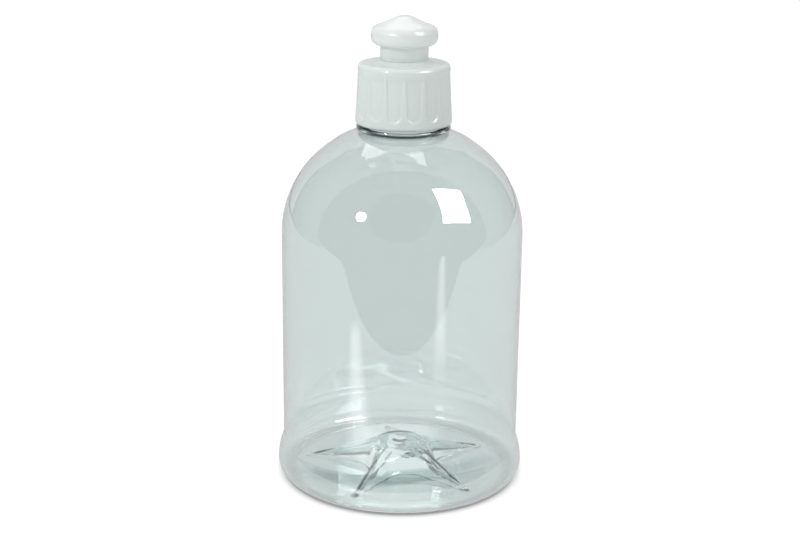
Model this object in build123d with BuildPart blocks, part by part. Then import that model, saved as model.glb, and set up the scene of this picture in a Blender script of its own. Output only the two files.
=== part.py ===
"""Clear blow-moulded bottle with a white push-pull dispensing closure, in millimetres, +Z up.

The origin is the centre of the standing ring, on the surface that the bottle stands on.
The front of the bottle faces -Y. The closure is screwed home and the spout is pushed shut.
"""
import os
from math import acos, cos, degrees, radians, sin, tan

from build123d import *

# Bottle body: a straight wall over a slightly swollen heel, under a domed shoulder
body_radius = 40.0
body_wall = 0.5
foot_land = 1.0
foot_rise_length = 1.5
heel_swell = 1.83
heel_height = 4.1
heel_round = 5.73
heel_crown = 20.0
shoulder_height = 83.8
dome_offset = 4.3
dome_sweep = 53.2
cone_length = 3.1

# Push-up in the base: a flat hub with arms running out to the foot and petals between them
base_wall = 0.8
base_arms = 5
base_arm_angle = -27.5
hub_radius = 5.6
hub_height = 8.3
hub_bevel = 1.8
hub_drop = 1.1
arm_knee_radius = 17.0
arm_knee_height = 3.8
petal_height = 0.6
petal_leg_radius = 15.6
petal_arch_rise = 3.0
petal_half_width = 7.3
petal_draft = 28.0
gate_radius = 1.6
gate_length = 0.8

# Neck finish: support ring, bore and a single-start external thread of 28 mm size
neck_land_angle = 20.76
neck_transition = 1.2
neck_height = 20.0
neck_root_radius = 12.5
neck_bore_radius = 10.85
ring_radius = 15.4
ring_lift = 0.4
ring_thickness = 1.35
thread_pitch = 4.23
thread_turns = 1.5
thread_radius = 13.7
thread_root_width = 2.2
thread_crest_width = 1.0
thread_top_margin = 2.6
thread_embed = 0.3

# Sealing liner between the neck and the deck of the closure
liner_thickness = 1.0
liner_hole_radius = 9.8

# Closure: a fluted skirt, a deck and a hollow post with a pin on spokes
deck_thickness = 1.2
skirt_gap = 0.6
skirt_top_radius = 14.95
skirt_bottom_radius = 15.8
skirt_bottom_edge = 1.5
skirt_top_edge = 0.9
bore_clearance = 0.2
thread_clearance = 0.3
thread_play = 0.3
cap_thread_root_width = 1.9
cap_thread_crest_width = 0.8
flutes = 15
flute_angle = 13.0
flute_depth = 0.35
flute_top_width = 5.7
flute_bottom_width = 4.6
flute_top_gap = 1.4
flute_bottom_gap = 2.85
boss_height = 1.0
boss_flare = 1.7
post_radius = 6.0
post_wall = 1.0
bead_depth = 0.4
bead_height = 1.0
post_lip = 0.4
pin_radius = 1.5
spoke_count = 3
spoke_thickness = 1.0
spoke_height = 2.4

# Spout: a sleeve under a mushroom head, pushed down onto the boss
sleeve_radius = 7.8
sleeve_clearance = 0.2
sleeve_bead_lift = 0.5
head_radius = 10.82
head_lift = 4.7
head_lower_edge = 2.5
head_upper_edge = 2.6
head_upper_sweep = 75
head_side = 1.3
head_ceiling_lift = 10.0
nipple_foot_radius = 7.3
nipple_foot_rise = 0.5
nipple_slope = 25.0
nose_radius = 3.1
orifice_clearance = 0.1
spout_travel = 5.0
travel_margin = 0.2


def arc_point(centre, radius, angle):
    """The point at an angle on an arc of the section plane."""
    return (centre[0] + radius * cos(radians(angle)), centre[1] + radius * sin(radians(angle)))


def cone_top(inset):
    """Where the straight cone over the dome ends, inset by a wall thickness."""
    dome_centre = (dome_offset, shoulder_height)
    dome_end = arc_point(dome_centre, body_radius - dome_offset - inset, dome_sweep)
    return arc_point(dome_end, cone_length, dome_sweep + 90)


def body_section(inset, neck_foot_height):
    """Half section of the filled body up to the neck, inset by a wall thickness."""
    heel_centre = (heel_radius - heel_round, heel_height)
    crown_centre = (heel_radius - heel_crown, heel_height)
    crown = heel_crown - inset
    crown_angle = degrees(acos((body_radius - inset - crown_centre[0]) / crown))
    dome_centre = (dome_offset, shoulder_height)
    slope = arc_point((0, 0), 1, dome_sweep + 90)
    with BuildSketch(Plane.XZ) as section:
        with BuildLine():
            foot = Line((0, inset), (heel_centre[0], inset))
            EllipticalCenterArc(
                heel_centre,
                heel_round - inset,
                heel_height - inset,
                start_angle=270,
                arc_size=90,
            )
            swell = CenterArc(crown_centre, crown, 0, crown_angle)
            Line(swell @ 1, (body_radius - inset, shoulder_height))
            shoulder = CenterArc(dome_centre, body_radius - dome_offset - inset, 0, dome_sweep)
            cone = Line(shoulder @ 1, cone_top(inset))
            land = TangentArc(cone @ 1, (neck_root_radius, neck_foot_height), tangent=slope)
            Polyline(land @ 1, (0, neck_foot_height), foot @ 0)
        make_face()
    return section.sketch


def base_form(lift, inset):
    """The space under the base, raised and widened by a wall thickness for the inner side."""
    level = petal_height + lift
    foot_edge = foot_radius - foot_land / 2 + inset / 2
    arm_end = foot_edge - foot_rise_length
    half_pitch = radians(180 / base_arms)
    tip = (foot_radius * cos(half_pitch), foot_radius * sin(half_pitch))
    with BuildSketch() as petal:
        with BuildLine():
            arch = ThreePointArc(
                (petal_leg_radius, petal_half_width),
                (petal_leg_radius - petal_arch_rise, 0),
                (petal_leg_radius, -petal_half_width),
            )
            outer = ThreePointArc((tip[0], -tip[1]), (foot_radius, 0), tip)
            Line(arch @ 1, outer @ 0)
            Line(outer @ 1, arch @ 0)
        make_face()
        offset(amount=-inset, kind=Kind.INTERSECTION)
    with BuildPart() as star:
        with BuildSketch(Plane.XZ):
            with BuildLine():
                hub = Polyline(
                    (0, 0),
                    (0, hub_height + lift),
                    (hub_radius + inset, hub_height + lift),
                    (hub_radius + hub_bevel + inset, hub_height - hub_drop + lift),
                )
                arm = Spline(
                    hub @ 1,
                    (arm_knee_radius, arm_knee_height + lift),
                    (arm_end, level),
                )
                Polyline(arm @ 1, (arm_end, 0), (0, 0))
            make_face()
        revolve(axis=Axis.Z)
        with BuildSketch(Plane.XY.offset(level)):
            with PolarLocations(0, base_arms, start_angle=base_arm_angle - 90 + degrees(half_pitch)):
                add(petal.sketch)
        extrude(amount=hub_height + lift, taper=-petal_draft, mode=Mode.SUBTRACT)
    with BuildPart() as form:
        with BuildSketch(Plane.XZ):
            with BuildLine():
                rise = Spline(
                    (foot_edge, 0),
                    (arm_end, level),
                    tangents=((-1, 0), (-1, 0)),
                )
                Polyline(rise @ 1, (0, level), (0, 0), rise @ 0)
            make_face()
        revolve(axis=Axis.Z)
        add(star.part)
    return form.part


def thread_ridge(root, crest, root_width, crest_width, start_height):
    """A right-hand ridge of trapezoid section that climbs thread_turns turns of the thread."""
    with BuildPart() as ridge:
        with BuildLine() as path:
            Helix(thread_pitch, thread_pitch * thread_turns, root, center=(0, 0, start_height))
        start = Plane(origin=path.line @ 0, x_dir=(1, 0, 0), z_dir=path.line % 0)
        with BuildSketch(start):
            with BuildLine():
                Polyline(
                    (0, -root_width / 2),
                    (crest - root, -crest_width / 2),
                    (crest - root, crest_width / 2),
                    (0, root_width / 2),
                    close=True,
                )
            make_face()
        sweep(path=path.line, is_frenet=True)
    return ridge.part


# Levels and radii that the body, the neck, the liner, the closure and the spout share
heel_radius = body_radius + heel_swell
foot_radius = heel_radius - heel_round - foot_land / 2
dome_top = cone_top(0)
neck_base_height = dome_top[1] + (dome_top[0] - neck_root_radius) * tan(radians(neck_land_angle))
neck_top_height = neck_base_height + neck_height
ring_underside = neck_base_height + ring_lift
ring_top = ring_underside + ring_thickness
bore_base = neck_base_height - 2 * neck_transition
liner_top = neck_top_height + liner_thickness
deck_top = liner_top + deck_thickness
skirt_base = ring_top + skirt_gap
boss_top = deck_top + boss_height
thread_start = neck_top_height - thread_top_margin - thread_pitch * thread_turns
cap_bore_radius = thread_radius + bore_clearance
cap_thread_radius = neck_root_radius + thread_clearance
bead_radius = post_radius + bead_depth
sleeve_bore_radius = bead_radius + sleeve_clearance
sleeve_bead_radius = post_radius + sleeve_clearance
sleeve_bead_top = boss_top + sleeve_bead_lift + bead_height
bead_base = sleeve_bead_top + spout_travel + travel_margin
post_top = bead_base + bead_height + post_lip
post_bore_radius = post_radius - post_wall

# Cavity of the bottle, which the base rises into
base_inner = base_form(base_wall, base_wall)
with BuildPart() as cavity:
    add(body_section(body_wall, neck_base_height - neck_transition))
    revolve(axis=Axis.Z)
    add(base_inner, mode=Mode.SUBTRACT)

# Bottle: blown body, push-up base and moulded neck finish in one piece
base_outer = base_form(0, 0)
neck_thread = thread_ridge(
    neck_root_radius - thread_embed,
    thread_radius,
    thread_root_width + thread_embed,
    thread_crest_width,
    thread_start,
)
with BuildPart() as bottle:
    add(body_section(0, neck_base_height))
    revolve(axis=Axis.Z)
    add(base_outer, mode=Mode.SUBTRACT)
    add(cavity.part, mode=Mode.SUBTRACT)
    with BuildSketch(Plane.XY.offset(neck_base_height)):
        Circle(neck_root_radius)
    extrude(amount=neck_height)
    with BuildSketch(Plane.XY.offset(ring_underside)):
        Circle(ring_radius)
    extrude(amount=ring_thickness)
    add(neck_thread)
    with BuildSketch(Plane.XY.offset(bore_base)):
        Circle(neck_bore_radius)
    extrude(amount=neck_top_height - bore_base, mode=Mode.SUBTRACT)
    with BuildSketch(Plane.XY.offset(hub_height - gate_length)):
        Circle(gate_radius)
    extrude(amount=gate_length)

bottle.part.label = "bottle"

# Liner: a flat ring punched from foamed sheet
with BuildPart() as liner:
    with BuildSketch(Plane.XY.offset(neck_top_height)):
        Circle(thread_radius)
        Circle(liner_hole_radius, mode=Mode.SUBTRACT)
    extrude(amount=liner_thickness)

liner.part.label = "liner"

# Flute cutter: a U-shaped outline that bites flute_depth into the tapered skirt
taper_base = skirt_base + skirt_bottom_edge
taper_top = deck_top - skirt_top_edge
flute_bowl = flute_bottom_width / 2
flute_bowl_height = skirt_base + flute_bottom_gap + flute_bowl
with BuildPart() as flute:
    with BuildSketch(Plane.YZ):
        with BuildLine():
            bowl = CenterArc((0, flute_bowl_height), flute_bowl, 180, 180)
            Polyline(
                bowl @ 1,
                (flute_top_width / 2, deck_top - flute_top_gap),
                (-flute_top_width / 2, deck_top - flute_top_gap),
                bowl @ 0,
            )
        make_face()
    extrude(amount=2 * skirt_bottom_radius)
    with BuildSketch(Plane.XZ):
        with BuildLine():
            Polyline(
                (0, skirt_base),
                (skirt_bottom_radius - flute_depth, skirt_base),
                (skirt_bottom_radius - flute_depth, taper_base),
                (skirt_top_radius - flute_depth, taper_top),
                (skirt_top_radius - flute_depth, deck_top),
                (0, deck_top),
                close=True,
            )
        make_face()
    revolve(axis=Axis.Z, mode=Mode.SUBTRACT)

# Closure: skirt, deck, boss and post in one moulding, with the pin carried by spokes
flank = (thread_root_width + thread_crest_width) / 4
cap_flank = (cap_thread_root_width + cap_thread_crest_width) / 4
cap_thread_drop = flank + cap_flank + thread_play
cap_thread = thread_ridge(
    cap_bore_radius + thread_embed,
    cap_thread_radius,
    cap_thread_root_width + thread_embed,
    cap_thread_crest_width,
    thread_start - cap_thread_drop,
)
nose_slope = radians(nipple_slope)
nose_arc = nose_radius / sin(nose_slope)
cone_foot = (nipple_foot_radius, boss_top + head_lift + head_lower_edge + head_side)
upper_centre = (head_radius - head_upper_edge, cone_foot[1])
rim_end = arc_point(upper_centre, head_upper_edge, head_upper_sweep)
nipple_foot = (nipple_foot_radius, rim_end[1] + nipple_foot_rise)
cone_rise = (nipple_foot_radius - nose_radius) * tan(nose_slope)
nose_edge = (nose_radius, nipple_foot[1] + cone_rise)
nose_centre = (0, nose_edge[1] - nose_arc * cos(nose_slope))
apex = nose_centre[1] + nose_arc
with BuildPart() as cap:
    with BuildSketch(Plane.XZ):
        with BuildLine():
            skirt_foot = RadiusArc(
                (skirt_bottom_radius - skirt_bottom_edge, skirt_base),
                (skirt_bottom_radius, taper_base),
                -skirt_bottom_edge,
            )
            deck_edge = RadiusArc(
                (skirt_top_radius, taper_top),
                (skirt_top_radius - skirt_top_edge, deck_top),
                -skirt_top_edge,
            )
            Line(skirt_foot @ 1, deck_edge @ 0)
            flare = Spline(
                (sleeve_radius + boss_height + boss_flare, deck_top),
                (sleeve_radius + boss_height / 2, boss_top),
                tangents=((-1, 0), (-0.6, 1)),
            )
            Line(deck_edge @ 1, flare @ 0)
            Polyline(
                flare @ 1,
                (post_radius, boss_top),
                (post_radius, bead_base),
                (bead_radius, bead_base),
                (bead_radius, bead_base + bead_height / 2),
                (post_radius, post_top),
                (post_bore_radius, post_top),
                (post_bore_radius, liner_top),
                (cap_bore_radius, liner_top),
                (cap_bore_radius, skirt_base),
                skirt_foot @ 0,
            )
        make_face()
    revolve(axis=Axis.Z)
    with PolarLocations(0, flutes, start_angle=flute_angle - 90):
        add(flute.part, mode=Mode.SUBTRACT)
    with BuildSketch(Plane.XY.offset(post_top - spoke_height)):
        with PolarLocations(0, spoke_count, start_angle=90):
            Rectangle(post_bore_radius + post_wall / 2, spoke_thickness, align=(Align.MIN, Align.CENTER))
    extrude(amount=spoke_height)
    with BuildSketch(Plane.XZ):
        with BuildLine():
            pin_edge = (pin_radius, nose_centre[1] + (nose_arc**2 - pin_radius**2) ** 0.5)
            pin_nose = RadiusArc(pin_edge, (0, apex), -nose_arc)
            Polyline(
                pin_nose @ 1,
                (0, post_top - spoke_height),
                (pin_radius, post_top - spoke_height),
                pin_nose @ 0,
            )
        make_face()
    revolve(axis=Axis.Z)
    add(cap_thread)

cap.part.label = "cap"

# Spout: sleeve, snap bead, mushroom head and nipple in one moulding
head_under = boss_top + head_lift
orifice_radius = pin_radius + orifice_clearance
lower_centre = (head_radius - head_lower_edge, head_under + head_lower_edge)
ceiling = boss_top + head_ceiling_lift
with BuildPart() as spout:
    with BuildSketch(Plane.XZ):
        with BuildLine():
            lower_rim = CenterArc(lower_centre, head_lower_edge, -90, 90)
            upper_rim = CenterArc(upper_centre, head_upper_edge, 0, head_upper_sweep)
            Line(lower_rim @ 1, upper_rim @ 0)
            Polyline(upper_rim @ 1, nipple_foot, nose_edge)
            orifice_edge = (
                orifice_radius,
                nose_centre[1] + (nose_arc**2 - orifice_radius**2) ** 0.5,
            )
            nose = RadiusArc(nose_edge, orifice_edge, -nose_arc)
            Polyline(
                nose @ 1,
                (orifice_radius, ceiling),
                (sleeve_bore_radius, ceiling),
                (sleeve_bore_radius, sleeve_bead_top),
                (sleeve_bead_radius, sleeve_bead_top),
                (sleeve_bead_radius, sleeve_bead_top - bead_height / 2),
                (sleeve_bore_radius, boss_top + sleeve_bead_lift / 2),
                (sleeve_bore_radius, boss_top),
                (sleeve_radius, boss_top),
                (sleeve_radius, head_under),
                lower_rim @ 0,
            )
        make_face()
    revolve(axis=Axis.Z)

spout.part.label = "spout"

os.makedirs("parts", exist_ok=True)
export_step(bottle.part, "parts/bottle.step")
export_step(liner.part, "parts/liner.step")
export_step(cap.part, "parts/cap.step")
export_step(spout.part, "parts/spout.step")
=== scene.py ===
from math import atan2, cos, degrees, pi, radians, sin, tan

import bmesh
import bpy
import numpy as np
from mathutils import Matrix, Vector


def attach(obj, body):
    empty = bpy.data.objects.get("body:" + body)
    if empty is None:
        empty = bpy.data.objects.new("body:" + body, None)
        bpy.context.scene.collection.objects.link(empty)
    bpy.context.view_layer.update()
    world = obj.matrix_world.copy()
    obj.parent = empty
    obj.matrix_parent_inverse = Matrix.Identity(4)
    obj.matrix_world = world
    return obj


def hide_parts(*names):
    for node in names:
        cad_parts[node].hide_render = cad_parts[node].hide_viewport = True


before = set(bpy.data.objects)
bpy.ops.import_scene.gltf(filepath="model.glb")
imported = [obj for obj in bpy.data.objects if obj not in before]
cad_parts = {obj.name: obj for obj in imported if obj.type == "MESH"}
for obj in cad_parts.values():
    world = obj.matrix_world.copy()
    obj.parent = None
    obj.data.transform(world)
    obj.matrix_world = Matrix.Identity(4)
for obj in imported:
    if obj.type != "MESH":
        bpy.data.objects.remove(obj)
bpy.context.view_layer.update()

scene = bpy.context.scene
scene.view_settings.view_transform = "Standard"

# Camera: a long lens in front of the bottle and a little above it, tilted down so that the
# bottle stands in the middle. The roll is the slight lean that the bottle is seen with.
# Sizes here and below are in millimetres, and angles in degrees.
MM = 0.001
lens_mm = 69.32
sensor_mm = 36.0
camera_distance = 494.79
camera_height = 220.198
camera_tilt_down = 16.958
camera_turn = 0.064
camera_roll = 0.691
camera_data = bpy.data.cameras.new("camera")
camera_data.lens = lens_mm
camera_data.sensor_width = sensor_mm
camera = bpy.data.objects.new("camera", camera_data)
aim = (
    Matrix.Rotation(radians(camera_turn), 4, "Z")
    @ Matrix.Rotation(radians(90 - camera_tilt_down), 4, "X")
    @ Matrix.Rotation(radians(camera_roll), 4, "Z")
)
camera.matrix_world = Matrix.Translation((0, -camera_distance * MM, camera_height * MM)) @ aim
scene.collection.objects.link(camera)
scene.camera = camera

# Backdrop: white to the eye and through the clear wall, a dark room in mirrored rays, and a plain
# grey fill for everything dull. A ray that turned back inside the front wall sees the dark room too.
view_white = 1.0
room_level = 0.27
turned_level = 0.25
turned_back = -0.05
straight_through_surfaces = 3.5
fill_low = 0.6
fill_high = 1.0


def linear(code):
    """Turn an sRGB hex colour into linear light."""
    parts = [int(code[i:i + 2], 16) / 255 for i in (1, 3, 5)]
    return [p / 12.92 if p <= 0.04045 else ((p + 0.055) / 1.055) ** 2.4 for p in parts] + [1.0]


def node(tree, kind, sockets=None, **settings):
    """Add a node, set its properties, and give its sockets values or links."""
    made = tree.nodes.new(kind)
    for name, value in settings.items():
        setattr(made, name, value)
    for key, value in (sockets or {}).items():
        if isinstance(value, bpy.types.NodeSocket):
            tree.links.new(value, made.inputs[key])
        else:
            made.inputs[key].default_value = value
    return made


world = bpy.data.worlds.new("studio")
scene.world = world
world.use_nodes = True
tree = world.node_tree
tree.nodes.clear()
path = node(tree, "ShaderNodeLightPath")
way = node(tree, "ShaderNodeTexCoord")
split = node(tree, "ShaderNodeSeparateXYZ", {0: way.outputs["Generated"]})
forward = node(tree, "ShaderNodeMath", {0: split.outputs["Y"], 1: turned_back}, operation="LESS_THAN")
shallow = node(
    tree,
    "ShaderNodeMath",
    {0: path.outputs["Transmission Depth"], 1: straight_through_surfaces},
    operation="LESS_THAN",
)
turned = node(tree, "ShaderNodeMath", {0: forward.outputs[0], 1: shallow.outputs[0]}, operation="MULTIPLY")
passed = node(
    tree,
    "ShaderNodeMath",
    {0: turned.outputs[0], 1: path.outputs["Is Transmission Ray"]},
    operation="MULTIPLY",
)
outside = node(
    tree, "ShaderNodeMath", {0: 1.0, 1: path.outputs["Is Transmission Ray"]}, operation="SUBTRACT"
)
mirrored = node(
    tree, "ShaderNodeMath", {0: path.outputs["Is Glossy Ray"], 1: outside.outputs[0]}, operation="MULTIPLY"
)
dimmed = node(
    tree, "ShaderNodeMapRange", {"Value": mirrored.outputs[0], "To Min": view_white, "To Max": room_level}
)
seen = node(
    tree, "ShaderNodeMix", {0: passed.outputs[0], 2: dimmed.outputs[0], 3: turned_level}, data_type="FLOAT"
)
fill = node(
    tree,
    "ShaderNodeMapRange",
    {"Value": split.outputs["Z"], "To Min": fill_low, "To Max": fill_high},
)
level = node(
    tree,
    "ShaderNodeMix",
    {0: path.outputs["Is Diffuse Ray"], 2: seen.outputs[0], 3: fill.outputs[0]},
    data_type="FLOAT",
)
sky = node(tree, "ShaderNodeBackground", {"Color": linear("#FFFFFF"), "Strength": level.outputs[0]})
node(tree, "ShaderNodeOutputWorld", {"Surface": sky.outputs[0]})

# Table top: pale and matt, with a painted soft shadow round the foot. Mirrored rays pass it and
# meet the table card. Through the clear base it carries painted light and shade: brighter than white in the
# middle and shaded to both sides, with a painted darker bowed band across it and a narrow painted shade
# ring under the heel.
floor_half = 12000.0
floor_glow = 0.9
table_front_edge = -190.0
# Painted contact shadow: where and how deeply the floor's glow is dimmed round the foot
contact_middle = -1.0
contact_start = 39.5
contact_end = 45.0
contact_falloff = 3.0
contact_shade = 0.72
# Painted light and shade on the floor under the base, seen only through the clear wall
base_middle = 8.0
base_side = 18.0
painted_middle_light = 1.25
painted_side_shade = 0.82
base_shade_start = 38.0
base_shade_end = 41.0
# Painted shade ring on the floor under the heel
heel_shade = 0.3
heel_shade_start = 34.5
heel_shade_full = 37.0
heel_shade_past = 41.0
heel_shade_end = 45.0
# Painted darker band across the floor under the base
band_half_width = 44.0
band_half_depth = 7.5
band_middle = -12.5
band_tilt = 0.222
band_curve_per_metre = 9.8
band_core = 0.5


def flat_mesh(name, corners):
    """One flat face through its corners, in metres."""
    mesh = bpy.data.meshes.new(name)
    mesh.from_pydata([tuple(c) for c in corners], [], [list(range(len(corners)))])
    made = bpy.data.objects.new(name, mesh)
    scene.collection.objects.link(made)
    return made


square = ((-1, -1), (1, -1), (1, 1), (-1, 1))
floor = flat_mesh("floor", [(x * floor_half * MM, y * floor_half * MM, 0.0) for x, y in square])
floor.visible_glossy = False

# Matt table top: a pale painted board, which takes soft light and shadow and shows no gloss. A painted
# contact shadow dims its glow in a ring round the foot
pale = bpy.data.materials.new("pale_table_top")
pale.use_nodes = True
tree = pale.node_tree
tree.nodes.clear()
path = node(tree, "ShaderNodeLightPath")
place = node(tree, "ShaderNodeNewGeometry")
split = node(tree, "ShaderNodeSeparateXYZ", {0: place.outputs["Position"]})
# Painted contact shadow: the glow falls off in a ring just outside the foot
nearer = node(
    tree,
    "ShaderNodeVectorMath",
    {0: place.outputs["Position"], 1: (0.0, contact_middle * MM, 0.0)},
    operation="DISTANCE",
)
closeness = node(
    tree,
    "ShaderNodeMapRange",
    {
        "Value": nearer.outputs["Value"],
        "From Min": contact_start * MM,
        "From Max": contact_end * MM,
        "To Min": 1.0,
        "To Max": 0.0,
    },
)
eased = node(tree, "ShaderNodeMath", {0: closeness.outputs[0], 1: contact_falloff}, operation="POWER")
lost = node(tree, "ShaderNodeMath", {0: eased.outputs[0], 1: contact_shade}, operation="MULTIPLY")
painted_contact_shadow = node(tree, "ShaderNodeMath", {0: 1.0, 1: lost.outputs[0]}, operation="SUBTRACT")
glow = node(tree, "ShaderNodeMath", {0: painted_contact_shadow.outputs[0], 1: floor_glow}, operation="MULTIPLY")
matt = node(tree, "ShaderNodeBsdfDiffuse", {"Color": linear("#E6E6E6")})
faint = node(tree, "ShaderNodeBsdfDiffuse", {"Color": linear("#7A7A7A")})
lift = node(tree, "ShaderNodeEmission", {"Color": linear("#FFFFFF"), "Strength": glow.outputs[0]})
bright = node(tree, "ShaderNodeAddShader", {0: faint.outputs[0], 1: lift.outputs[0]})
dull = node(
    tree,
    "ShaderNodeMixShader",
    {0: path.outputs["Is Diffuse Ray"], 1: bright.outputs[0], 2: matt.outputs[0]},
)

# The same top through the clear wall: dark in front of the table for rays that turned back
beyond = node(
    tree, "ShaderNodeMath", {0: split.outputs["Y"], 1: table_front_edge * MM}, operation="LESS_THAN"
)
shallow = node(
    tree,
    "ShaderNodeMath",
    {0: path.outputs["Transmission Depth"], 1: straight_through_surfaces},
    operation="LESS_THAN",
)
turned = node(tree, "ShaderNodeMath", {0: beyond.outputs[0], 1: shallow.outputs[0]}, operation="MULTIPLY")
dark_part = node(
    tree,
    "ShaderNodeMath",
    {0: turned.outputs[0], 1: path.outputs["Is Transmission Ray"]},
    operation="MULTIPLY",
)
through = node(
    tree,
    "ShaderNodeMapRange",
    {"Value": dark_part.outputs[0], "To Min": view_white, "To Max": turned_level},
)

# Under the base, painted light and shade: brighter than white in the middle, painted shade to the sides
off_axis = node(tree, "ShaderNodeMath", {0: split.outputs["X"]}, operation="ABSOLUTE")
side = node(
    tree,
    "ShaderNodeMapRange",
    {
        "Value": off_axis.outputs[0],
        "From Min": base_middle * MM,
        "From Max": base_side * MM,
        "To Min": painted_middle_light,
        "To Max": painted_side_shade,
    },
    interpolation_type="SMOOTHSTEP",
)
apart = node(tree, "ShaderNodeVectorMath", {0: place.outputs["Position"]}, operation="LENGTH")
covered = node(
    tree,
    "ShaderNodeMapRange",
    {
        "Value": apart.outputs["Value"],
        "From Min": base_shade_start * MM,
        "From Max": base_shade_end * MM,
        "To Min": 1.0,
        "To Max": 0.0,
    },
)
under = node(
    tree, "ShaderNodeMix", {0: covered.outputs[0], 2: 1.0, 3: side.outputs[0]}, data_type="FLOAT"
)
through = node(tree, "ShaderNodeMath", {0: through.outputs[0], 1: under.outputs[0]}, operation="MULTIPLY")

# Under the heel: a narrow painted shade ring
near_heel = node(
    tree,
    "ShaderNodeMapRange",
    {
        "Value": nearer.outputs["Value"],
        "From Min": heel_shade_start * MM,
        "From Max": heel_shade_full * MM,
        "To Min": 0.0,
        "To Max": heel_shade,
    },
)
past_heel = node(
    tree,
    "ShaderNodeMapRange",
    {
        "Value": nearer.outputs["Value"],
        "From Min": heel_shade_past * MM,
        "From Max": heel_shade_end * MM,
        "To Min": 1.0,
        "To Max": 0.0,
    },
)
painted_heel_shade_depth = node(
    tree, "ShaderNodeMath", {0: near_heel.outputs[0], 1: past_heel.outputs[0]}, operation="MULTIPLY"
)
left_after_heel_shade = node(tree, "ShaderNodeMath", {0: 1.0, 1: painted_heel_shade_depth.outputs[0]}, operation="SUBTRACT")
through = node(
    tree, "ShaderNodeMath", {0: through.outputs[0], 1: left_after_heel_shade.outputs[0]}, operation="MULTIPLY"
)

# The painted dark band: its middle line is bowed and a little tilted, and it fades towards its rim
across = node(tree, "ShaderNodeMath", {0: split.outputs["X"], 1: band_half_width * MM}, operation="DIVIDE")
bow = node(tree, "ShaderNodeMath", {0: split.outputs["X"], 1: 2.0}, operation="POWER")
bow = node(
    tree,
    "ShaderNodeMath",
    {0: bow.outputs[0], 1: band_curve_per_metre, 2: band_middle * MM},
    operation="MULTIPLY_ADD",
)
bow = node(
    tree,
    "ShaderNodeMath",
    {0: split.outputs["X"], 1: band_tilt, 2: bow.outputs[0]},
    operation="MULTIPLY_ADD",
)
ahead = node(tree, "ShaderNodeMath", {0: split.outputs["Y"], 1: bow.outputs[0]}, operation="SUBTRACT")
ahead = node(tree, "ShaderNodeMath", {0: ahead.outputs[0], 1: band_half_depth * MM}, operation="DIVIDE")
spread = node(tree, "ShaderNodeCombineXYZ", {"X": across.outputs[0], "Y": ahead.outputs[0]})
spread = node(tree, "ShaderNodeVectorMath", {0: spread.outputs[0]}, operation="LENGTH")
band = node(
    tree,
    "ShaderNodeMapRange",
    {
        "Value": spread.outputs["Value"],
        "From Min": band_core,
        "From Max": 1.0,
        "To Min": 1.0,
        "To Max": 0.0,
    },
)
# Painted shade colour of the band: white outside it, grey-green in its core
painted_band_colour = node(
    tree,
    "ShaderNodeMix",
    {0: band.outputs[0], 6: linear("#FFFFFF"), 7: linear("#C0CDCE")},
    data_type="RGBA",
)
# The floor seen through the wall glows with all the painted light and shade above
clear = node(tree, "ShaderNodeEmission", {"Color": painted_band_colour.outputs[2], "Strength": through.outputs[0]})
both = node(
    tree,
    "ShaderNodeMixShader",
    {0: path.outputs["Is Transmission Ray"], 1: dull.outputs[0], 2: clear.outputs[0]},
)
node(tree, "ShaderNodeOutputMaterial", {"Surface": both.outputs[0]})
floor.data.materials.append(pale)

# Room: what the shiny surfaces mirror. A pale table and backdrop, a panel overhead whose outline
# ends the grey shape on the dome, a round lamp, a soft box, the dark front of the camera, and two
# strips of light that lie along the table.
table_front = (-560.0, 600.0)
table_back = (-950.0, 1000.0)
table_back_edge = 830.0
backdrop_place = 1200.0
backdrop_height = 1600.0
backdrop_foot = (-1330.0, 1000.0)
backdrop_top = (-1000.0, 900.0)
mirrored_white = 0.62
panel_height = 1000.0
panel_glow = 1.7
panel = [
    (-305, 1066), (-414, 615), (-510, 335), (-427, 231), (-345, 163), (-265, 181), (-181, 261),
    (-104, 278), (-32, 256), (20, 182), (78, 98), (149, 56), (271, 62), (250, 110), (195, 355),
    (235, 604), (290, 1000), (300, 1200), (-300, 1200),
]
dome_middle = 100.0
lamp_turn = -43.3
lamp_rise = 27.7
lamp_half_width = 5.2
lamp_half_height = 4.6
lamp_corners = 32
lamp_glow = 60.0
soft_box = [(48.7, 57.7), (43.8, 32.9), (41.0, 22.8), (70.3, 15.5), (74.3, 30.9), (81.6, 42.9)]
soft_box_glow = 10.0
dark_camera = [
    (-37, 39), (-31, 51), (-17, 57), (4, 57), (22, 54), (37, 44), (41, 37), (32, 27), (21, 14),
    (7, 7), (-10, 7), (-25, 13), (-35, 24),
]
dark_camera_distance = 900.0
streak_height = 0.5
streak_half_width = 27.0
streak_core = 0.1
streak_full_length = 0.35
left_streak = ((-24, -62), (-150, -176))
left_streak_glow = 1.85
right_streak = ((71, -117), (420, -550))
right_streak_glow = 1.6


def toward(turn, rise, distance=1000.0):
    """A point in metres, at a distance from the middle of the dome, turned from the front to the right."""
    flat = cos(radians(rise)) * distance * MM
    up = (dome_middle + sin(radians(rise)) * distance) * MM
    return (sin(radians(turn)) * flat, -cos(radians(turn)) * flat, up)


def mirrored_card(name, corners, strength, inside=False):
    """A glowing face that mirror-like reflections see, and those inside the clear wall too if asked."""
    made = flat_mesh(name, corners)
    glow = bpy.data.materials.new(name)
    glow.use_nodes = True
    glow.node_tree.nodes.clear()
    light = node(glow.node_tree, "ShaderNodeEmission", {"Color": linear("#FFFFFF"), "Strength": strength})
    node(glow.node_tree, "ShaderNodeOutputMaterial", {"Surface": light.outputs[0]})
    made.data.materials.append(glow)
    made.visible_camera = False
    made.visible_diffuse = False
    made.visible_transmission = inside
    made.visible_shadow = False
    return made


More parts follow.
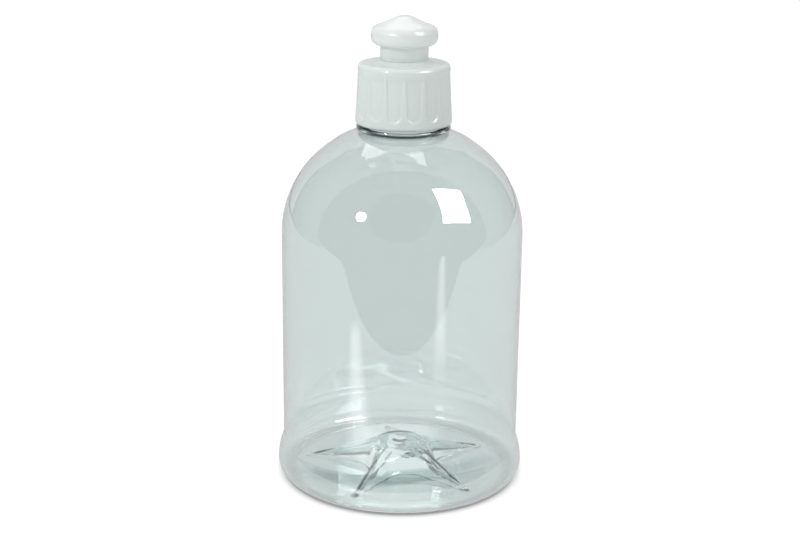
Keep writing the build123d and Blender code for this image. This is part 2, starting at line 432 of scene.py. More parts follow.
def streak_card(name, near, far, strength):
    """A strip of glow along a line on the table, soft at its sides and ends, added to what it covers."""
    near, far = np.array(near), np.array(far)
    length = np.hypot(*(far - near))
    ahead = (far - near) / length
    aside = np.array([-ahead[1], ahead[0]])
    edge = aside * streak_half_width
    corners = [near - edge, far - edge, far + edge, near + edge]
    made = mirrored_card(name, [(x * MM, y * MM, streak_height * MM) for x, y in corners], 0.0)
    tree = made.data.materials[0].node_tree
    place = node(tree, "ShaderNodeNewGeometry")
    origin = (near[0] * MM, near[1] * MM, 0.0)
    local = node(
        tree, "ShaderNodeVectorMath", {0: place.outputs["Position"], 1: origin}, operation="SUBTRACT"
    )
    shares = []
    for axis, reach in ((aside, streak_half_width * MM), (ahead, length * MM)):
        part = node(
            tree, "ShaderNodeVectorMath", {0: local.outputs[0], 1: (*axis, 0.0)}, operation="DOT_PRODUCT"
        )
        share = node(tree, "ShaderNodeMath", {0: part.outputs["Value"], 1: reach}, operation="DIVIDE")
        shares.append(share)
    off = node(tree, "ShaderNodeMath", {0: shares[0].outputs[0]}, operation="ABSOLUTE")
    middle = node(tree, "ShaderNodeMath", {0: shares[1].outputs[0], 1: 0.5}, operation="SUBTRACT")
    from_middle = node(tree, "ShaderNodeMath", {0: middle.outputs[0]}, operation="ABSOLUTE")
    across = node(
        tree,
        "ShaderNodeMapRange",
        {
            "Value": off.outputs[0],
            "From Min": streak_core,
            "From Max": 1.0,
            "To Min": strength,
            "To Max": 0.0,
        },
        interpolation_type="SMOOTHSTEP",
    )
    along = node(
        tree,
        "ShaderNodeMapRange",
        {
            "Value": from_middle.outputs[0],
            "From Min": streak_full_length,
            "From Max": 0.5,
            "To Min": 1.0,
            "To Max": 0.0,
        },
    )
    level = node(tree, "ShaderNodeMath", {0: across.outputs[0], 1: along.outputs[0]}, operation="MULTIPLY")
    light = node(tree, "ShaderNodeEmission", {"Color": linear("#FFFFFF"), "Strength": level.outputs[0]})
    clear = node(tree, "ShaderNodeBsdfTransparent")
    both = node(tree, "ShaderNodeAddShader", {0: light.outputs[0], 1: clear.outputs[0]})
    end = next(n for n in tree.nodes if n.type == "OUTPUT_MATERIAL")
    tree.links.new(both.outputs[0], end.inputs["Surface"])


table = [
    (table_front[0], table_front_edge),
    (table_front[1], table_front_edge),
    (table_back[1], table_back_edge),
    (table_back[0], table_back_edge),
]
mirrored_card("table_card", [(x * MM, y * MM, 0.0) for x, y in table], mirrored_white)
backdrop = [
    (backdrop_foot[0], 0.0),
    (backdrop_foot[1], 0.0),
    (backdrop_top[1], backdrop_height),
    (backdrop_top[0], backdrop_height),
]
mirrored_card("backdrop_card", [(x * MM, backdrop_place * MM, z * MM) for x, z in backdrop], mirrored_white)
ceiling = [(x * MM, y * MM, panel_height * MM) for x, y in panel]
mirrored_card("overhead_panel", ceiling, panel_glow, inside=True)
lamp = [
    toward(lamp_turn + lamp_half_width * cos(a), lamp_rise + lamp_half_height * sin(a))
    for a in np.linspace(0, 2 * pi, lamp_corners + 1)[:-1]
]
mirrored_card("round_lamp", lamp, lamp_glow, inside=True)
mirrored_card("soft_box", [toward(a, e) for a, e in soft_box], soft_box_glow, inside=True)
mirrored_card("dark_camera", [toward(a, e, dark_camera_distance) for a, e in dark_camera], 0.0)
streak_card("left_streak", *left_streak, left_streak_glow)
streak_card("right_streak", *right_streak, right_streak_glow)

# Key light: one large soft disc from the upper left in front, which shapes the white closure. The
# clear wall doesn't mirror it: the round lamp and the soft box are what it shows.
key_size = 250.0
key_watts = 1.35
key_turn = -50.0
key_rise = 38.0
key_distance = 800.0
key_data = bpy.data.lights.new("soft_key", "AREA")
key_data.shape = "DISK"
key_data.size = key_size * MM
key_data.energy = key_watts
key = bpy.data.objects.new("soft_key", key_data)
key_place = Vector(toward(key_turn, key_rise, key_distance))
key_aim = Vector((0, 0, dome_middle * MM)) - key_place
key.matrix_world = Matrix.Translation(key_place) @ key_aim.to_track_quat("-Z", "Y").to_matrix().to_4x4()
key.visible_glossy = False
key.visible_transmission = False
key.visible_camera = False
scene.collection.objects.link(key)

# Bottle: one piece of clear PET, stretched and blown from a moulded preform, so the body wall is
# thin and even while the neck, the support ring and the five-armed base stay thick.
# It stands on its ring-shaped foot.
columns = 240
centre_radius = 8.0
row_step = 0.5
body_radius = 40.0
body_wall = 0.5
foot_radius = 36.6
foot_rise_length = 2.0
heel_swell = 1.81
heel_height = 4.1
heel_round = 3.2
heel_crown = 20.0
shoulder_height = 83.8
dome_offset = 4.3
dome_sweep = 53.2
dome_top_radius = 23.2
hub_wall = 1.6
base_arms = 5
base_arm_angle = -27.5
hub_radius = 6.0
hub_height = 8.3
hub_shoulder_radius = 6.9
hub_shoulder_height = 7.4
arm_tip_radius = 33.0
arm_crest_half_width = 1.5
arm_fall = 0.3
arm_fall_reach = 5.0
arm_fall_start = 8.0
petal_height = 0.6
petal_wall = 11.3
petal_half_width = 4.3
petal_corner = 2.5
petal_draft = 14.0
petal_reach = 33.5
outside_softness = 0.3
inside_softness = 0.8
crest_blend = 0.3
gate_radius = 1.6
gate_edge = 0.4
gate_length = 0.8
neck_base_height = 118.3
neck_transition = 0.5
neck_root_radius = 12.5
neck_bore_radius = 10.85
neck_top_height = 138.3
neck_lip = 0.4
ring_radius = 15.4
ring_underside = 118.7
ring_thickness = 1.35
ring_edge = 0.12
ring_root = 0.3
thread_pitch = 4.23
thread_turns = 1.5
thread_radius = 13.7
thread_root_width = 2.2
thread_crest_width = 1.0
thread_start = 129.355
thread_run_out = 0.06


def arc(centre, across, up, start, sweep, steps):
    """Points along an elliptical arc of a half section, in millimetres."""
    turns = np.radians(np.linspace(start, start + sweep, steps + 1))
    return np.stack((centre[0] + across * np.cos(turns), centre[1] + up * np.sin(turns)), 1)


def line(start, end, steps):
    """Points along a straight line of a half section, both ends included."""
    share = np.linspace(0, 1, steps + 1)[:, None]
    return np.array(start) * (1 - share) + np.array(end) * share


def soft_min(one, other, blend):
    """The lower of two surfaces, with the corner between them rounded."""
    share = np.clip(0.5 + 0.5 * (other - one) / blend, 0, 1)
    return other * (1 - share) + one * share - blend * share * (1 - share)


def body_section(inset, neck_height):
    """The blown body from the foot to the neck, inset by a wall thickness."""
    heel_radius = body_radius + heel_swell
    foot_centre = (heel_radius - heel_round, heel_height)
    crown_centre = (heel_radius - heel_crown, heel_height)
    crown = heel_crown - inset
    crown_angle = degrees(np.arccos((body_radius - inset - crown_centre[0]) / crown))
    dome_centre = (dome_offset, shoulder_height)
    dome = body_radius - dome_offset - inset
    heel = arc(foot_centre, heel_round - inset, heel_height - inset, 270, 90, 14)
    swell = arc(crown_centre, crown, crown, 0, crown_angle, 8)
    wall = line(swell[-1], (body_radius - inset, shoulder_height), 24)
    shoulder = arc(dome_centre, dome, dome, 0, dome_sweep, 36)
    slope = radians(90 - dome_sweep)
    cone_top = (dome_top_radius, shoulder[-1][1] + (shoulder[-1][0] - dome_top_radius) * tan(slope))
    cone = line(shoulder[-1], cone_top, 4)
    run = dome_top_radius - neck_root_radius
    rise = neck_height - cone_top[1]
    chord_angle = atan2(rise, run)
    sweep = 2 * (slope - chord_angle)
    land_round = np.hypot(run, rise) / (2 * sin(sweep / 2))
    land_centre = (dome_top_radius - land_round * sin(slope), cone_top[1] - land_round * cos(slope))
    land = arc(land_centre, land_round, land_round, dome_sweep, degrees(sweep), 12)
    return np.concatenate((heel, swell[1:], wall[1:], shoulder[1:], cone[1:], land[1:]))


def base_height(radius, turn, lift, softness, floor):
    """Height of the underside of the base, or of its inner side when lifted by the wall."""
    level = petal_height + lift
    pitch = 2 * pi / base_arms
    first_petal = radians(base_arm_angle - 90) + pitch / 2
    local = (turn - first_petal + pitch / 2) % pitch - pitch / 2
    across = radius * np.cos(local)
    side = np.abs(radius * np.sin(local))
    tip = (petal_reach * cos(pitch / 2), petal_reach * sin(pitch / 2))
    leg = np.array((tip[0] - petal_wall, tip[1] - petal_half_width))
    leg /= np.hypot(*leg)
    leg_gap = (side - petal_half_width) * leg[0] - (across - petal_wall) * leg[1]
    gap = -soft_min(-leg_gap, across - petal_wall, petal_corner + lift) + lift
    crest = crest_curve(radius, lift) + lift
    from_arm = np.abs(radius * np.sin(np.abs(local) - pitch / 2))
    beside = np.clip(from_arm - arm_crest_half_width, 0, arm_fall_reach)
    crest = crest - np.clip((radius - hub_radius) / arm_fall_start, 0, 1) * beside * arm_fall
    depth = np.maximum(0, gap)
    flank = level + (np.hypot(depth, softness) - softness) / tan(radians(petal_draft))
    blend = softness + crest_blend
    star = soft_min(np.maximum(crest, level + blend), flank, blend)
    share = np.clip((foot_radius - radius) / foot_rise_length, 0, 1)
    return floor + (star - floor) * share**2 * (3 - 2 * share)


def crest_curve(radius, inset):
    """Top of the hub and of the arms along the radius."""
    shoulder = hub_shoulder_radius + inset
    share = np.clip((radius - hub_radius - inset) / (shoulder - hub_radius - inset), 0, 1)
    plateau = hub_height - (hub_height - hub_shoulder_height) * share
    run = np.clip((radius - shoulder) / (arm_tip_radius - shoulder), 0, 1)
    return plateau - (hub_shoulder_height - petal_height) * run


def ring_mesh(name, radius, height, closed=False):
    """Skin rings of points round Z: one row of radius and height for each ring, in millimetres."""
    rows, count = radius.shape
    turn = np.arange(count) * 2 * pi / count
    points = np.stack((radius * np.cos(turn), radius * np.sin(turn), height), -1).reshape(-1, 3) * MM
    index = np.arange(rows * count).reshape(rows, count)
    for pole in (0, -1):
        if radius[pole].max() < 1e-6:
            index[pole] = index[pole, 0]
    if closed:
        index = np.concatenate((index, index[:1]))
    turned = np.roll(index, -1, 1)
    quads = np.stack((index[:-1], turned[:-1], turned[1:], index[1:]), -1).reshape(-1, 4)
    faces = [list(dict.fromkeys(q)) for q in quads.tolist()]
    used = np.unique(index)
    renumber = np.zeros(rows * count, dtype=int)
    renumber[used] = np.arange(len(used))
    table = renumber.tolist()
    mesh = bpy.data.meshes.new(name)
    mesh.from_pydata(points[used].tolist(), [], [[table[v] for v in f] for f in faces])
    mesh.shade_smooth()
    made = bpy.data.objects.new(name, mesh)
    scene.collection.objects.link(made)
    return made


turn = (np.arange(columns) * 2 * pi / columns)[None, :]
hub_rows = np.linspace(0, centre_radius, 9)
foot_rows = np.arange(centre_radius + row_step, foot_radius, row_step)
rows_out = np.concatenate((hub_rows, foot_rows, [foot_radius]))[:, None]
base_outer = base_height(rows_out, turn, 0.0, outside_softness, 0.0)
gate = np.clip((gate_radius - rows_out) / gate_edge + 0.5, 0, 1)
base_outer = base_outer - gate_length * gate
outer = body_section(0.0, neck_base_height)
ring_top = ring_underside + ring_thickness
ring = np.array(
    [
        (neck_root_radius + 0.1, ring_underside - 0.1),
        (neck_root_radius + ring_root, ring_underside),
        (ring_radius - ring_edge, ring_underside),
        (ring_radius, ring_underside + ring_edge),
        (ring_radius, ring_top - ring_edge),
        (ring_radius - ring_edge, ring_top),
        (neck_root_radius + ring_root, ring_top),
        (neck_root_radius, ring_top + ring_root),
    ]
)
neck = line(
    (neck_root_radius, ring_top + 2 * ring_root), (neck_root_radius, neck_top_height - neck_lip), 58
)
lip = arc((neck_root_radius - neck_lip, neck_top_height - neck_lip), neck_lip, neck_lip, 0, 90, 4)[1:]
lip_in = arc((neck_bore_radius + neck_lip, neck_top_height - neck_lip), neck_lip, neck_lip, 90, 90, 4)
bore = line((neck_bore_radius, neck_top_height - 1), (neck_bore_radius, neck_base_height - 0.6), 8)
inner = body_section(body_wall, neck_base_height - neck_transition)[::-1]
rows_in = rows_out[::-1]
thickening = np.clip((petal_reach - rows_in) / (petal_reach - hub_radius), 0, 1)
wall_in = body_wall + (hub_wall - body_wall) * thickening
base_inner = base_height(rows_in, turn, wall_in, inside_softness, body_wall)
skin = np.concatenate((outer, ring, neck, lip, lip_in, bore, inner))
skin_radius = np.repeat(skin[:, :1], columns, 1)
skin_height = np.repeat(skin[:, 1:], columns, 1)
neck_rows = slice(len(outer) + len(ring), len(outer) + len(ring) + len(neck))
for wrap in range(2):
    climb = turn / (2 * pi) + wrap
    off = np.abs(skin_height[neck_rows] - thread_start - thread_pitch * climb)
    flank = (thread_root_width / 2 - off) / ((thread_root_width - thread_crest_width) / 2)
    run_out = np.clip(np.minimum(climb, thread_turns - climb) / thread_run_out, 0, 1)
    ridge = (thread_radius - neck_root_radius) * np.clip(flank, 0, 1) * run_out
    skin_radius[neck_rows] = np.maximum(skin_radius[neck_rows], neck_root_radius + ridge)
radius = np.concatenate((np.repeat(rows_out, columns, 1), skin_radius, np.repeat(rows_in, columns, 1)))
height = np.concatenate((base_outer, skin_height, base_inner))
bottle = ring_mesh("blown_bottle", radius, height)

# Clear PET as blown: glass-like skin with faint ripples, and a grey-green tint that deepens
# where the wall is thick or seen edge on.
ripple_size = 50 / 3
ripple_depth = 0.5
clear_pet = bpy.data.materials.new("clear_blown_pet")
clear_pet.use_nodes = True
tree = clear_pet.node_tree
tree.nodes.clear()
spot = node(tree, "ShaderNodeTexCoord")
ripple = node(
    tree,
    "ShaderNodeTexNoise",
    {"Vector": spot.outputs["Object"], "Scale": 1 / (ripple_size * MM), "Detail": 2.0},
)
bump = node(
    tree,
    "ShaderNodeBump",
    {"Strength": 0.05, "Distance": ripple_depth * MM, "Height": ripple.outputs[0]},
)
skin_shader = node(
    tree,
    "ShaderNodeBsdfPrincipled",
    {
        "Base Color": linear("#E6EDEC"),
        "Transmission Weight": 1.0,
        "Roughness": 0.0,
        "IOR": 1.57,
        "Coat Weight": 1.0,
        "Coat Roughness": 0.0,
        "Coat IOR": 1.5,
        "Normal": bump.outputs[0],
    },
)
tint = node(tree, "ShaderNodeVolumeAbsorption", {"Color": linear("#7DB0A8"), "Density": 30.0})
node(
    tree,
    "ShaderNodeOutputMaterial",
    {"Surface": skin_shader.outputs[0], "Volume": tint.outputs[0]},
)
bottle.data.materials.append(clear_pet)
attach(bottle, "container")
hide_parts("bottle")

# Liner: a flat ring punched from white foamed polyethylene sheet and pressed up into the cap,
# where the cap's deck squeezes it on the mouth of the bottle.
liner_thickness = 1.0

# Foamed polyethylene sheet: off-white and dull, with a fine pattern of cells in its skin
foam_cell = 0.6
foam_depth = 0.1
foamed_pe = bpy.data.materials.new("foamed_polyethylene")
foamed_pe.use_nodes = True
tree = foamed_pe.node_tree
tree.nodes.clear()
spot = node(tree, "ShaderNodeTexCoord")
cells = node(
    tree, "ShaderNodeTexVoronoi", {"Vector": spot.outputs["Object"], "Scale": 1 / (foam_cell * MM)}
)
shade = node(
    tree,
    "ShaderNodeMix",
    {0: cells.outputs["Distance"], 6: linear("#F1F3F1"), 7: linear("#DFE4E2")},
    data_type="RGBA",
)
pitted = node(
    tree,
    "ShaderNodeBump",
    {"Strength": 0.3, "Distance": foam_depth * MM, "Height": cells.outputs["Distance"]},
)
foam = node(
    tree,
    "ShaderNodeBsdfPrincipled",
    {"Base Color": shade.outputs[2], "Roughness": 0.7, "IOR": 1.5, "Normal": pitted.outputs[0]},
)
node(tree, "ShaderNodeOutputMaterial", {"Surface": foam.outputs[0]})
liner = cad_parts["liner"]
liner.data.materials.clear()
liner.data.materials.append(foamed_pe)

# Cap: one injection moulding in white polypropylene. Fifteen grip flutes run down the skirt, each
# ending in a round bowl, and a hollow post with a snap bead stands on the deck to carry the spout.
# A pin on three spokes in the post plugs the outlet of the spout.
deck_thickness = 1.2
skirt_gap = 0.6
skirt_top_radius = 14.95
skirt_bottom_radius = 15.8
skirt_bottom_edge = 1.1
skirt_top_edge = 1.4
bore_clearance = 0.2
flutes = 15
flute_columns = 24
flute_angle = 13.0
flute_depth = 0.35
flute_edge = 0.45
flute_edge_shift = 0.3
flute_top_width = 5.7
flute_bottom_width = 4.6
flute_top_gap = 1.9
flute_fade = 3.0
flute_bottom_gap = 2.85
boss_height = 1.0
boss_flare = 2.6
post_radius = 6.0
post_wall = 1.0
bead_depth = 0.4
bead_height = 1.0
post_lip = 0.4
sleeve_radius = 7.8
sleeve_bead_lift = 0.5
spout_travel = 5.0
travel_margin = 0.2
pin_radius = 1.5
pin_columns = 32
spoke_count = 3
spoke_thickness = 1.0
spoke_height = 2.4
cap_thread_root_width = 1.9
cap_thread_crest_width = 0.8
cap_thread_drop = 1.775
cap_thread_radius = 12.8
cap_thread_run_out = 0.05

liner_top = neck_top_height + liner_thickness
deck_top = liner_top + deck_thickness
skirt_base = ring_top + skirt_gap
boss_top = deck_top + boss_height
cap_bore_radius = thread_radius + bore_clearance
bead_radius = post_radius + bead_depth
bead_base = boss_top + sleeve_bead_lift + bead_height + spout_travel + travel_margin
post_top = bead_base + bead_height + post_lip
post_bore_radius = post_radius - post_wall


def bent(start, end, pull, steps):
    """Points along a curve between two points that is pulled towards a third."""
    share = np.linspace(0, 1, steps + 1)[:, None]
    points = [np.array(p) for p in (start, pull, end)]
    return points[0] * (1 - share) ** 2 + points[1] * 2 * share * (1 - share) + points[2] * share**2


foot_centre = (skirt_bottom_radius - skirt_bottom_edge, skirt_base + skirt_bottom_edge)
foot = arc(foot_centre, skirt_bottom_edge, skirt_bottom_edge, 270, 90, 10)
edge_centre = (skirt_top_radius - skirt_top_edge, deck_top - skirt_top_edge)
taper = line((skirt_bottom_radius, foot_centre[1]), (skirt_top_radius, edge_centre[1]), 50)
edge = arc(edge_centre, skirt_top_edge, skirt_top_edge, 0, 90, 8)
deck = line(edge[-1], (sleeve_radius + boss_height + boss_flare, deck_top + 0.05), 4)
boss_edge = (sleeve_radius + boss_height / 2, boss_top)
flare = bent(deck[-1], boss_edge, (sleeve_radius + boss_height, deck_top + 0.1), 8)
post = np.array(
    [
        (boss_edge[0] - 0.3, boss_top + 0.05),
        (post_radius + 0.2, boss_top + 0.05),
        (post_radius, boss_top + 0.25),
        (post_radius, bead_base - 0.05),
        (bead_radius - 0.1, bead_base),
        (bead_radius, bead_base + 0.1),
        (bead_radius, bead_base + bead_height / 2),
        (post_radius, post_top - 0.05),
        (post_radius - 0.1, post_top),
        (post_bore_radius + 0.1, post_top),
        (post_bore_radius, post_top - 0.1),
        (post_bore_radius, liner_top + 0.3),
        (post_bore_radius + 0.3, liner_top),
        (cap_bore_radius - 0.3, liner_top),
        (cap_bore_radius, liner_top - 0.3),
        (cap_bore_radius, skirt_base + 0.2),
        (cap_bore_radius + 0.2, skirt_base),
    ]
)
section = np.concatenate((foot, taper[1:], edge[1:], deck[1:], flare[1:], post))
outer_rows = len(foot) + len(taper) + len(edge) - 2
radius = np.repeat(section[:, :1], flute_columns + 1, 1)
height = np.repeat(section[:, 1:], flute_columns + 1, 1)
local = np.radians(np.linspace(-180 / flutes, 180 / flutes, flute_columns + 1))[None, :]
across = np.abs(local) * radius
bowl = flute_bottom_width / 2
bowl_height = skirt_base + flute_bottom_gap + bowl
flute_top = deck_top - flute_top_gap
rise = np.clip((height - bowl_height) / (flute_top - bowl_height), 0, 1)
half_width = bowl + (flute_top_width - flute_bottom_width) / 2 * rise
inside = np.where(height > bowl_height, half_width - across, bowl - np.hypot(across, height - bowl_height))
inside = np.minimum(inside, flute_edge * ((flute_top - height) / flute_fade - flute_edge_shift))
step = np.clip(inside / flute_edge + flute_edge_shift, 0, 1)
cut = flute_depth * step * step * (3 - 2 * step)
cut[outer_rows:] = 0
radius = radius - cut
angle = local + radians(flute_angle - 90)
points = np.stack((radius * np.cos(angle), radius * np.sin(angle), height), -1).reshape(-1, 3) * MM
index = np.arange(radius.size).reshape(radius.shape)
index = np.concatenate((index, index[:1]))
quads = np.stack((index[:-1, :-1], index[:-1, 1:], index[1:, 1:], index[1:, :-1]), -1).reshape(-1, 4)
sector = bpy.data.meshes.new("cap_sector")
sector.from_pydata(points.tolist(), [], quads.tolist())
sector.shade_smooth()

cap_sector = bpy.data.objects.new("cap_sector", sector)
scene.collection.objects.link(cap_sector)

# Moulded polypropylene: white with a touch of grey-green, a satin skin, faint flow marks and
# a fine grain
pp_flow_size = 25 / 3
grain_size = 0.4
grain_depth = 0.05
moulded_pp = bpy.data.materials.new("moulded_white_polypropylene")
moulded_pp.use_nodes = True
tree = moulded_pp.node_tree
tree.nodes.clear()
spot = node(tree, "ShaderNodeTexCoord")
flow = node(
    tree,
    "ShaderNodeTexNoise",
    {"Vector": spot.outputs["Object"], "Scale": 1 / (pp_flow_size * MM), "Detail": 3.0},
)
shade = node(
    tree,
    "ShaderNodeMix",
    {0: flow.outputs[0], 6: linear("#DCE5E2"), 7: linear("#E2E9E7")},
    data_type="RGBA",
)
grain = node(
    tree,
    "ShaderNodeTexNoise",
    {"Vector": spot.outputs["Object"], "Scale": 1 / (grain_size * MM), "Detail": 2.0},
)
satin = node(tree, "ShaderNodeMapRange", {"Value": flow.outputs[0], "To Min": 0.17, "To Max": 0.22})
texture = node(
    tree,
    "ShaderNodeBump",
    {"Strength": 0.12, "Distance": grain_depth * MM, "Height": grain.outputs[0]},
)
white = node(
    tree,
    "ShaderNodeBsdfPrincipled",
    {
        "Base Color": shade.outputs[2],
        "Roughness": satin.outputs[0],
        "IOR": 1.49,
        "Subsurface Weight": 0.15,
        "Subsurface Radius": (1.0, 1.0, 1.0),
        "Subsurface Scale": 0.001,
        "Normal": texture.outputs[0],
    },
)
node(tree, "ShaderNodeOutputMaterial", {"Surface": white.outputs[0]})

# The skirt, the deck and the post as they repeat round the cap: one sector for each flute
weld_distance = 0.01
grip = bpy.data.node_groups.new("flutes_round_the_skirt", "GeometryNodeTree")
for label, kind in (
    ("Sector", "NodeSocketGeometry"),
    ("Count", "NodeSocketInt"),
    ("Weld", "NodeSocketFloat"),
    ("Material", "NodeSocketMaterial"),
):
    grip.interface.new_socket(name=label, in_out="INPUT", socket_type=kind)
grip.interface.new_socket(name="Cap", in_out="OUTPUT", socket_type="NodeSocketGeometry")
given = node(grip, "NodeGroupInput")
row = node(grip, "GeometryNodeMeshLine", {"Count": given.outputs["Count"], "Offset": (0, 0, 0)})
number = node(grip, "GeometryNodeInputIndex")
pitch = node(grip, "ShaderNodeMath", {0: 2 * pi, 1: given.outputs["Count"]}, operation="DIVIDE")
turned = node(grip, "ShaderNodeMath", {0: number.outputs[0], 1: pitch.outputs[0]}, operation="MULTIPLY")
spin = node(grip, "ShaderNodeCombineXYZ", {"Z": turned.outputs[0]})
copies = node(
    grip,
    "GeometryNodeInstanceOnPoints",
    {"Points": row.outputs[0], "Instance": given.outputs["Sector"], "Rotation": spin.outputs[0]},
)
real = node(grip, "GeometryNodeRealizeInstances", {0: copies.outputs[0]})
weld = node(grip, "GeometryNodeMergeByDistance", {0: real.outputs[0], "Distance": given.outputs["Weld"]})
paint = node(grip, "GeometryNodeSetMaterial", {0: weld.outputs[0], "Material": given.outputs["Material"]})
node(grip, "NodeGroupOutput", {0: paint.outputs[0]})

repeat = cap_sector.modifiers.new("flutes", "NODES")
repeat.node_group = grip
sockets = {item.name: item.identifier for item in grip.interface.items_tree if item.in_out == "INPUT"}
repeat[sockets["Count"]] = flutes
repeat[sockets["Weld"]] = weld_distance * MM
repeat[sockets["Material"]] = moulded_pp
whole = bpy.data.meshes.new_from_object(cap_sector.evaluated_get(bpy.context.evaluated_depsgraph_get()))
bpy.data.objects.remove(cap_sector)

# Thread inside the skirt, one ridge that climbs one turn and a half
steps = 108
share = np.linspace(0, 1, steps + 1)
climb = thread_start - cap_thread_drop + thread_pitch * thread_turns * share
around = 2 * pi * thread_turns * share
fade = np.clip(np.minimum(share, 1 - share) / cap_thread_run_out, cap_thread_run_out, 1)
crest = cap_bore_radius - (cap_bore_radius - cap_thread_radius) * fade
root = np.full_like(share, cap_bore_radius + 0.3)
corners = (
    (root, -cap_thread_root_width / 2),
    (crest, -cap_thread_crest_width / 2),
    (crest, cap_thread_crest_width / 2),
    (root, cap_thread_root_width / 2),
)
points = np.stack(
    [np.stack((r * np.cos(around), r * np.sin(around), climb + up), -1) for r, up in corners], 1
).reshape(-1, 3) * MM
faces = [[0, 1, 2, 3], [4 * steps + 3, 4 * steps + 2, 4 * steps + 1, 4 * steps]]
for i in range(steps):
    for k in range(4):
        faces.append([4 * i + k, 4 * i + 4 + k, 4 * i + 4 + (k + 1) % 4, 4 * i + (k + 1) % 4])
ridge = bpy.data.meshes.new("cap_thread")
ridge.from_pydata(points.tolist(), [], faces)

# Pin that stands in the spout's outlet, and the spokes that hold it. Its tip is flush with the
# nose of the spout's head, so the head's outline is worked out first.
head_lift = 4.7
head_lower_edge = 2.5
head_upper_edge = 2.6
head_upper_sweep = 75
head_side = 1.3
head_radius = 10.82
nipple_foot_radius = 7.3
nipple_foot_rise = 0.5
nipple_slope = radians(25.0)
nose_radius = 3.1
side_top = boss_top + head_lift + head_lower_edge + head_side
upper_centre = (head_radius - head_upper_edge, side_top)
rim = arc(upper_centre, head_upper_edge, head_upper_edge, 0, head_upper_sweep, 16)
nipple_foot = (nipple_foot_radius, rim[-1][1] + nipple_foot_rise)
nose_edge = (nose_radius, nipple_foot[1] + (nipple_foot_radius - nose_radius) * tan(nipple_slope))
nose_round = nose_radius / sin(nipple_slope)
nose_centre = nose_edge[1] - nose_round * cos(nipple_slope)
pin_half_turn = degrees(np.arcsin(pin_radius / nose_round))
spoke_base = post_top - spoke_height
pin_nose = arc((0, nose_centre), nose_round, nose_round, 90 - pin_half_turn, pin_half_turn, 4)
pin_foot = [(0, spoke_base), (pin_radius - 0.1, spoke_base), (pin_radius, spoke_base + 0.1)]
pin = np.concatenate((pin_foot, pin_nose))
radius = np.repeat(pin[:, :1], pin_columns, 1)
height = np.repeat(pin[:, 1:], pin_columns, 1)
pin_object = ring_mesh("pin", radius, height)

joined = bmesh.new()
joined.from_mesh(whole)
joined.from_mesh(ridge)
joined.from_mesh(pin_object.data)
bpy.data.objects.remove(pin_object)
spoke_length = post_bore_radius + post_wall / 2
spoke_size = Matrix.Diagonal((spoke_length, spoke_thickness, spoke_height, 1))
spoke_place = Matrix.Translation((spoke_length / 2 * MM, 0, (spoke_base + spoke_height / 2) * MM))
for k in range(spoke_count):
    spoke = bmesh.ops.create_cube(joined, size=MM)["verts"]
    round_pin = Matrix.Rotation(radians(90) + 2 * pi * k / spoke_count, 4, "Z")
    bmesh.ops.transform(joined, matrix=round_pin @ spoke_place @ spoke_size, verts=spoke)
bmesh.ops.recalc_face_normals(joined, faces=joined.faces)
for face in joined.faces:
    face.smooth = True
joined.to_mesh(whole)
joined.free()
whole.materials.clear()
whole.materials.append(moulded_pp)
cap = bpy.data.objects.new("fluted_cap", whole)
scene.collection.objects.link(cap)
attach(cap, "closure")
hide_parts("cap")

# Spout: one injection moulding in white polyethylene, softer and more waxy than the cap. The sleeve
# slides on the post, a bead inside it snaps under the post's bead, and the round head is what
# the fingers pull. The outlet in the nipple closes on the pin.
head_columns = 128
sleeve_clearance = 0.2
head_ceiling_lift = 10.0
orifice_clearance = 0.1
slope_hollow = 1.2
sleeve_bore_radius = bead_radius + sleeve_clearance
sleeve_bead_radius = post_radius + sleeve_clearance
sleeve_bead_top = boss_top + sleeve_bead_lift + bead_height
orifice_radius = pin_radius + orifice_clearance
head_under = boss_top + head_lift
ceiling = boss_top + head_ceiling_lift
orifice_turn = degrees(np.arcsin(orifice_radius / nose_round))
nose_turn = degrees(nipple_slope)
lower_centre = (head_radius - head_lower_edge, head_under + head_lower_edge)
lower = arc(lower_centre, head_lower_edge, head_lower_edge, -90, 90, 14)
hollow = (nipple_foot_radius - slope_hollow, nipple_foot[1] + slope_hollow * tan(nipple_slope))
slope = bent(rim[-1], hollow, nipple_foot, 8)
nose = arc((0, nose_centre), nose_round, nose_round, 90 - nose_turn, nose_turn - orifice_turn, 8)
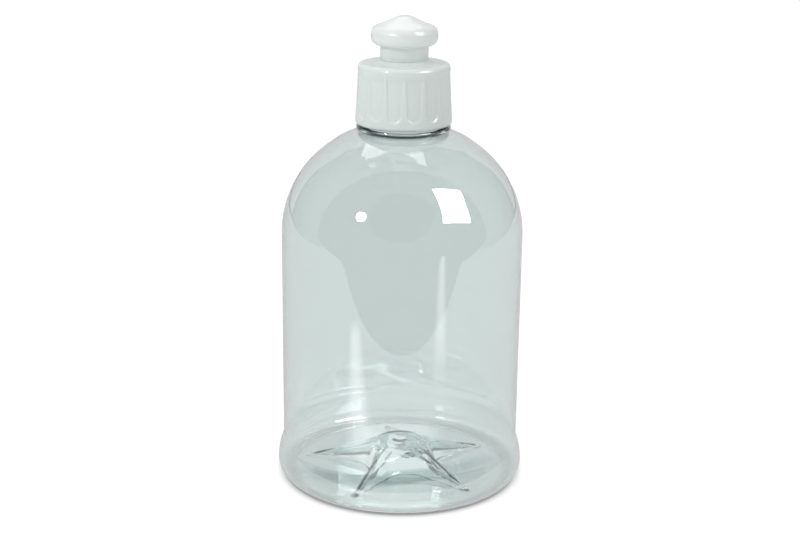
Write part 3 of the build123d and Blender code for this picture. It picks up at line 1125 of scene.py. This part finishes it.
skin = np.concatenate(
    (
        lower,
        rim,
        slope[1:],
        nose[:-1],
        [
            (orifice_radius + 0.05, nose[-1][1] - 0.02),
            (orifice_radius, nose[-1][1] - 0.15),
            (orifice_radius, ceiling + 0.2),
            (orifice_radius + 0.2, ceiling),
            (sleeve_bore_radius - 0.2, ceiling),
            (sleeve_bore_radius, ceiling - 0.2),
            (sleeve_bore_radius, sleeve_bead_top + 0.05),
            (sleeve_bead_radius, sleeve_bead_top),
            (sleeve_bead_radius, sleeve_bead_top - bead_height / 2),
            (sleeve_bore_radius, boss_top + sleeve_bead_lift / 2),
            (sleeve_bore_radius, boss_top + 0.1),
            (sleeve_bore_radius + 0.1, boss_top),
            (sleeve_radius - 0.2, boss_top),
            (sleeve_radius, boss_top + 0.2),
            (sleeve_radius, head_under - 0.5),
            (sleeve_radius + 0.15, head_under - 0.15),
            (sleeve_radius + 0.5, head_under),
        ],
    )
)
radius = np.repeat(skin[:, :1], head_columns, 1)
height = np.repeat(skin[:, 1:], head_columns, 1)
spout = ring_mesh("push_pull_spout", radius, height, closed=True)

# Moulded polyethylene: whiter than the cap, waxy and a little translucent
pe_flow_size = 20 / 3
moulded_pe = bpy.data.materials.new("moulded_white_polyethylene")
moulded_pe.use_nodes = True
tree = moulded_pe.node_tree
tree.nodes.clear()
spot = node(tree, "ShaderNodeTexCoord")
flow = node(
    tree,
    "ShaderNodeTexNoise",
    {"Vector": spot.outputs["Object"], "Scale": 1 / (pe_flow_size * MM), "Detail": 3.0},
)
shade = node(
    tree,
    "ShaderNodeMix",
    {0: flow.outputs[0], 6: linear("#E4EAE8"), 7: linear("#E9EEEC")},
    data_type="RGBA",
)
waxy = node(tree, "ShaderNodeMapRange", {"Value": flow.outputs[0], "To Min": 0.15, "To Max": 0.2})
grain = node(
    tree,
    "ShaderNodeTexNoise",
    {"Vector": spot.outputs["Object"], "Scale": 1 / (grain_size * MM), "Detail": 2.0},
)
texture = node(
    tree,
    "ShaderNodeBump",
    {"Strength": 0.1, "Distance": grain_depth * MM, "Height": grain.outputs[0]},
)
wax = node(
    tree,
    "ShaderNodeBsdfPrincipled",
    {
        "Base Color": shade.outputs[2],
        "Roughness": waxy.outputs[0],
        "IOR": 1.51,
        "Subsurface Weight": 0.2,
        "Subsurface Radius": (1.0, 1.0, 1.0),
        "Subsurface Scale": 0.0015,
        "Normal": texture.outputs[0],
    },
)
node(tree, "ShaderNodeOutputMaterial", {"Surface": wax.outputs[0]})
spout.data.materials.append(moulded_pe)
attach(spout, "pull_spout")
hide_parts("spout")
